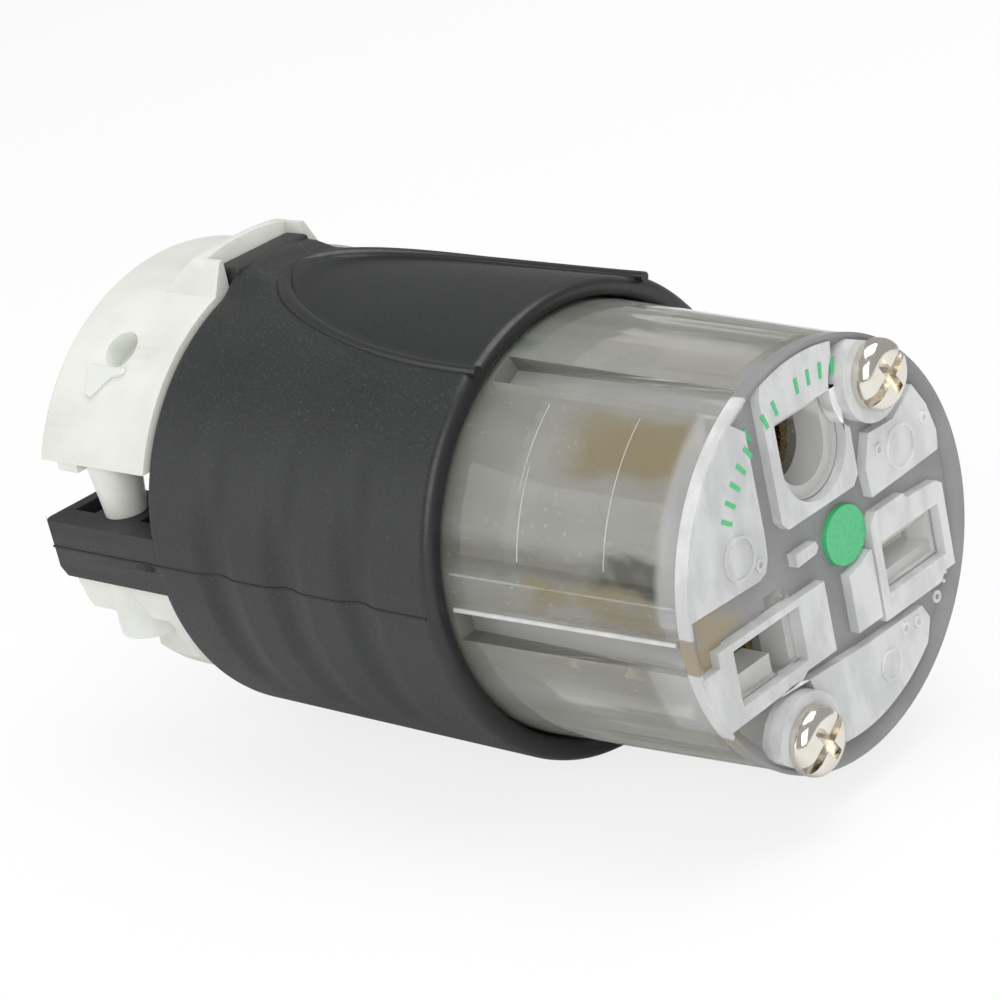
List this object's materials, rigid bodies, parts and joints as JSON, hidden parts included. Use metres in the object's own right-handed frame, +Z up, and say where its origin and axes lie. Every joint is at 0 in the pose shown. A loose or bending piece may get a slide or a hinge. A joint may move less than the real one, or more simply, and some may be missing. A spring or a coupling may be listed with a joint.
{
  "type": "cord connector",
  "caption": "Round female cord connector: clear front body with two blade slots and a ground hole, black shell, white screw cord clamp.",
  "frame": {"origin": "on the barrel's axis, at the top plane of the raised pads of the mating face", "axes": "+X out of the mating face along the barrel, +Z up through the ground hole and the oval panel, +Y to the straight slot"},
  "size_m": [0.0706, 0.0382, 0.0405],
  "materials": {
    "clear_body": "clear, polished",
    "clear_carrier": "clear, moulded",
    "green_insert": "satin",
    "contact_brass": "stamped",
    "terminal_brass": "turned",
    "insert_brass": "knurled",
    "plated_steel": "zinc plated",
    "nickel_screw": "nickel plated",
    "green_screw": "green plated",
    "black_nylon": "fine grain",
    "white_nylon": "satin, slightly milky"
  },
  "bodies": {
    "root": {"front_body": "clear_body", "green_dot": "green_insert", "contact_carrier": "clear_carrier", "ground_contact": "contact_brass", "straight_slot_contact": "contact_brass", "tee_slot_contact": "contact_brass", "ground_clamp_plate": "plated_steel", "straight_slot_clamp_plate": "plated_steel", "tee_slot_clamp_plate": "plated_steel", "ground_terminal_screw": "green_screw", "straight_slot_terminal_screw": "terminal_brass", "tee_slot_terminal_screw": "terminal_brass", "face_screws": "nickel_screw", "threaded_inserts": "insert_brass", "shell": "black_nylon", "upper_jaw": "white_nylon", "lower_jaw": "white_nylon", "clamp_screws": "plated_steel"}
  },
  "joints": []
}
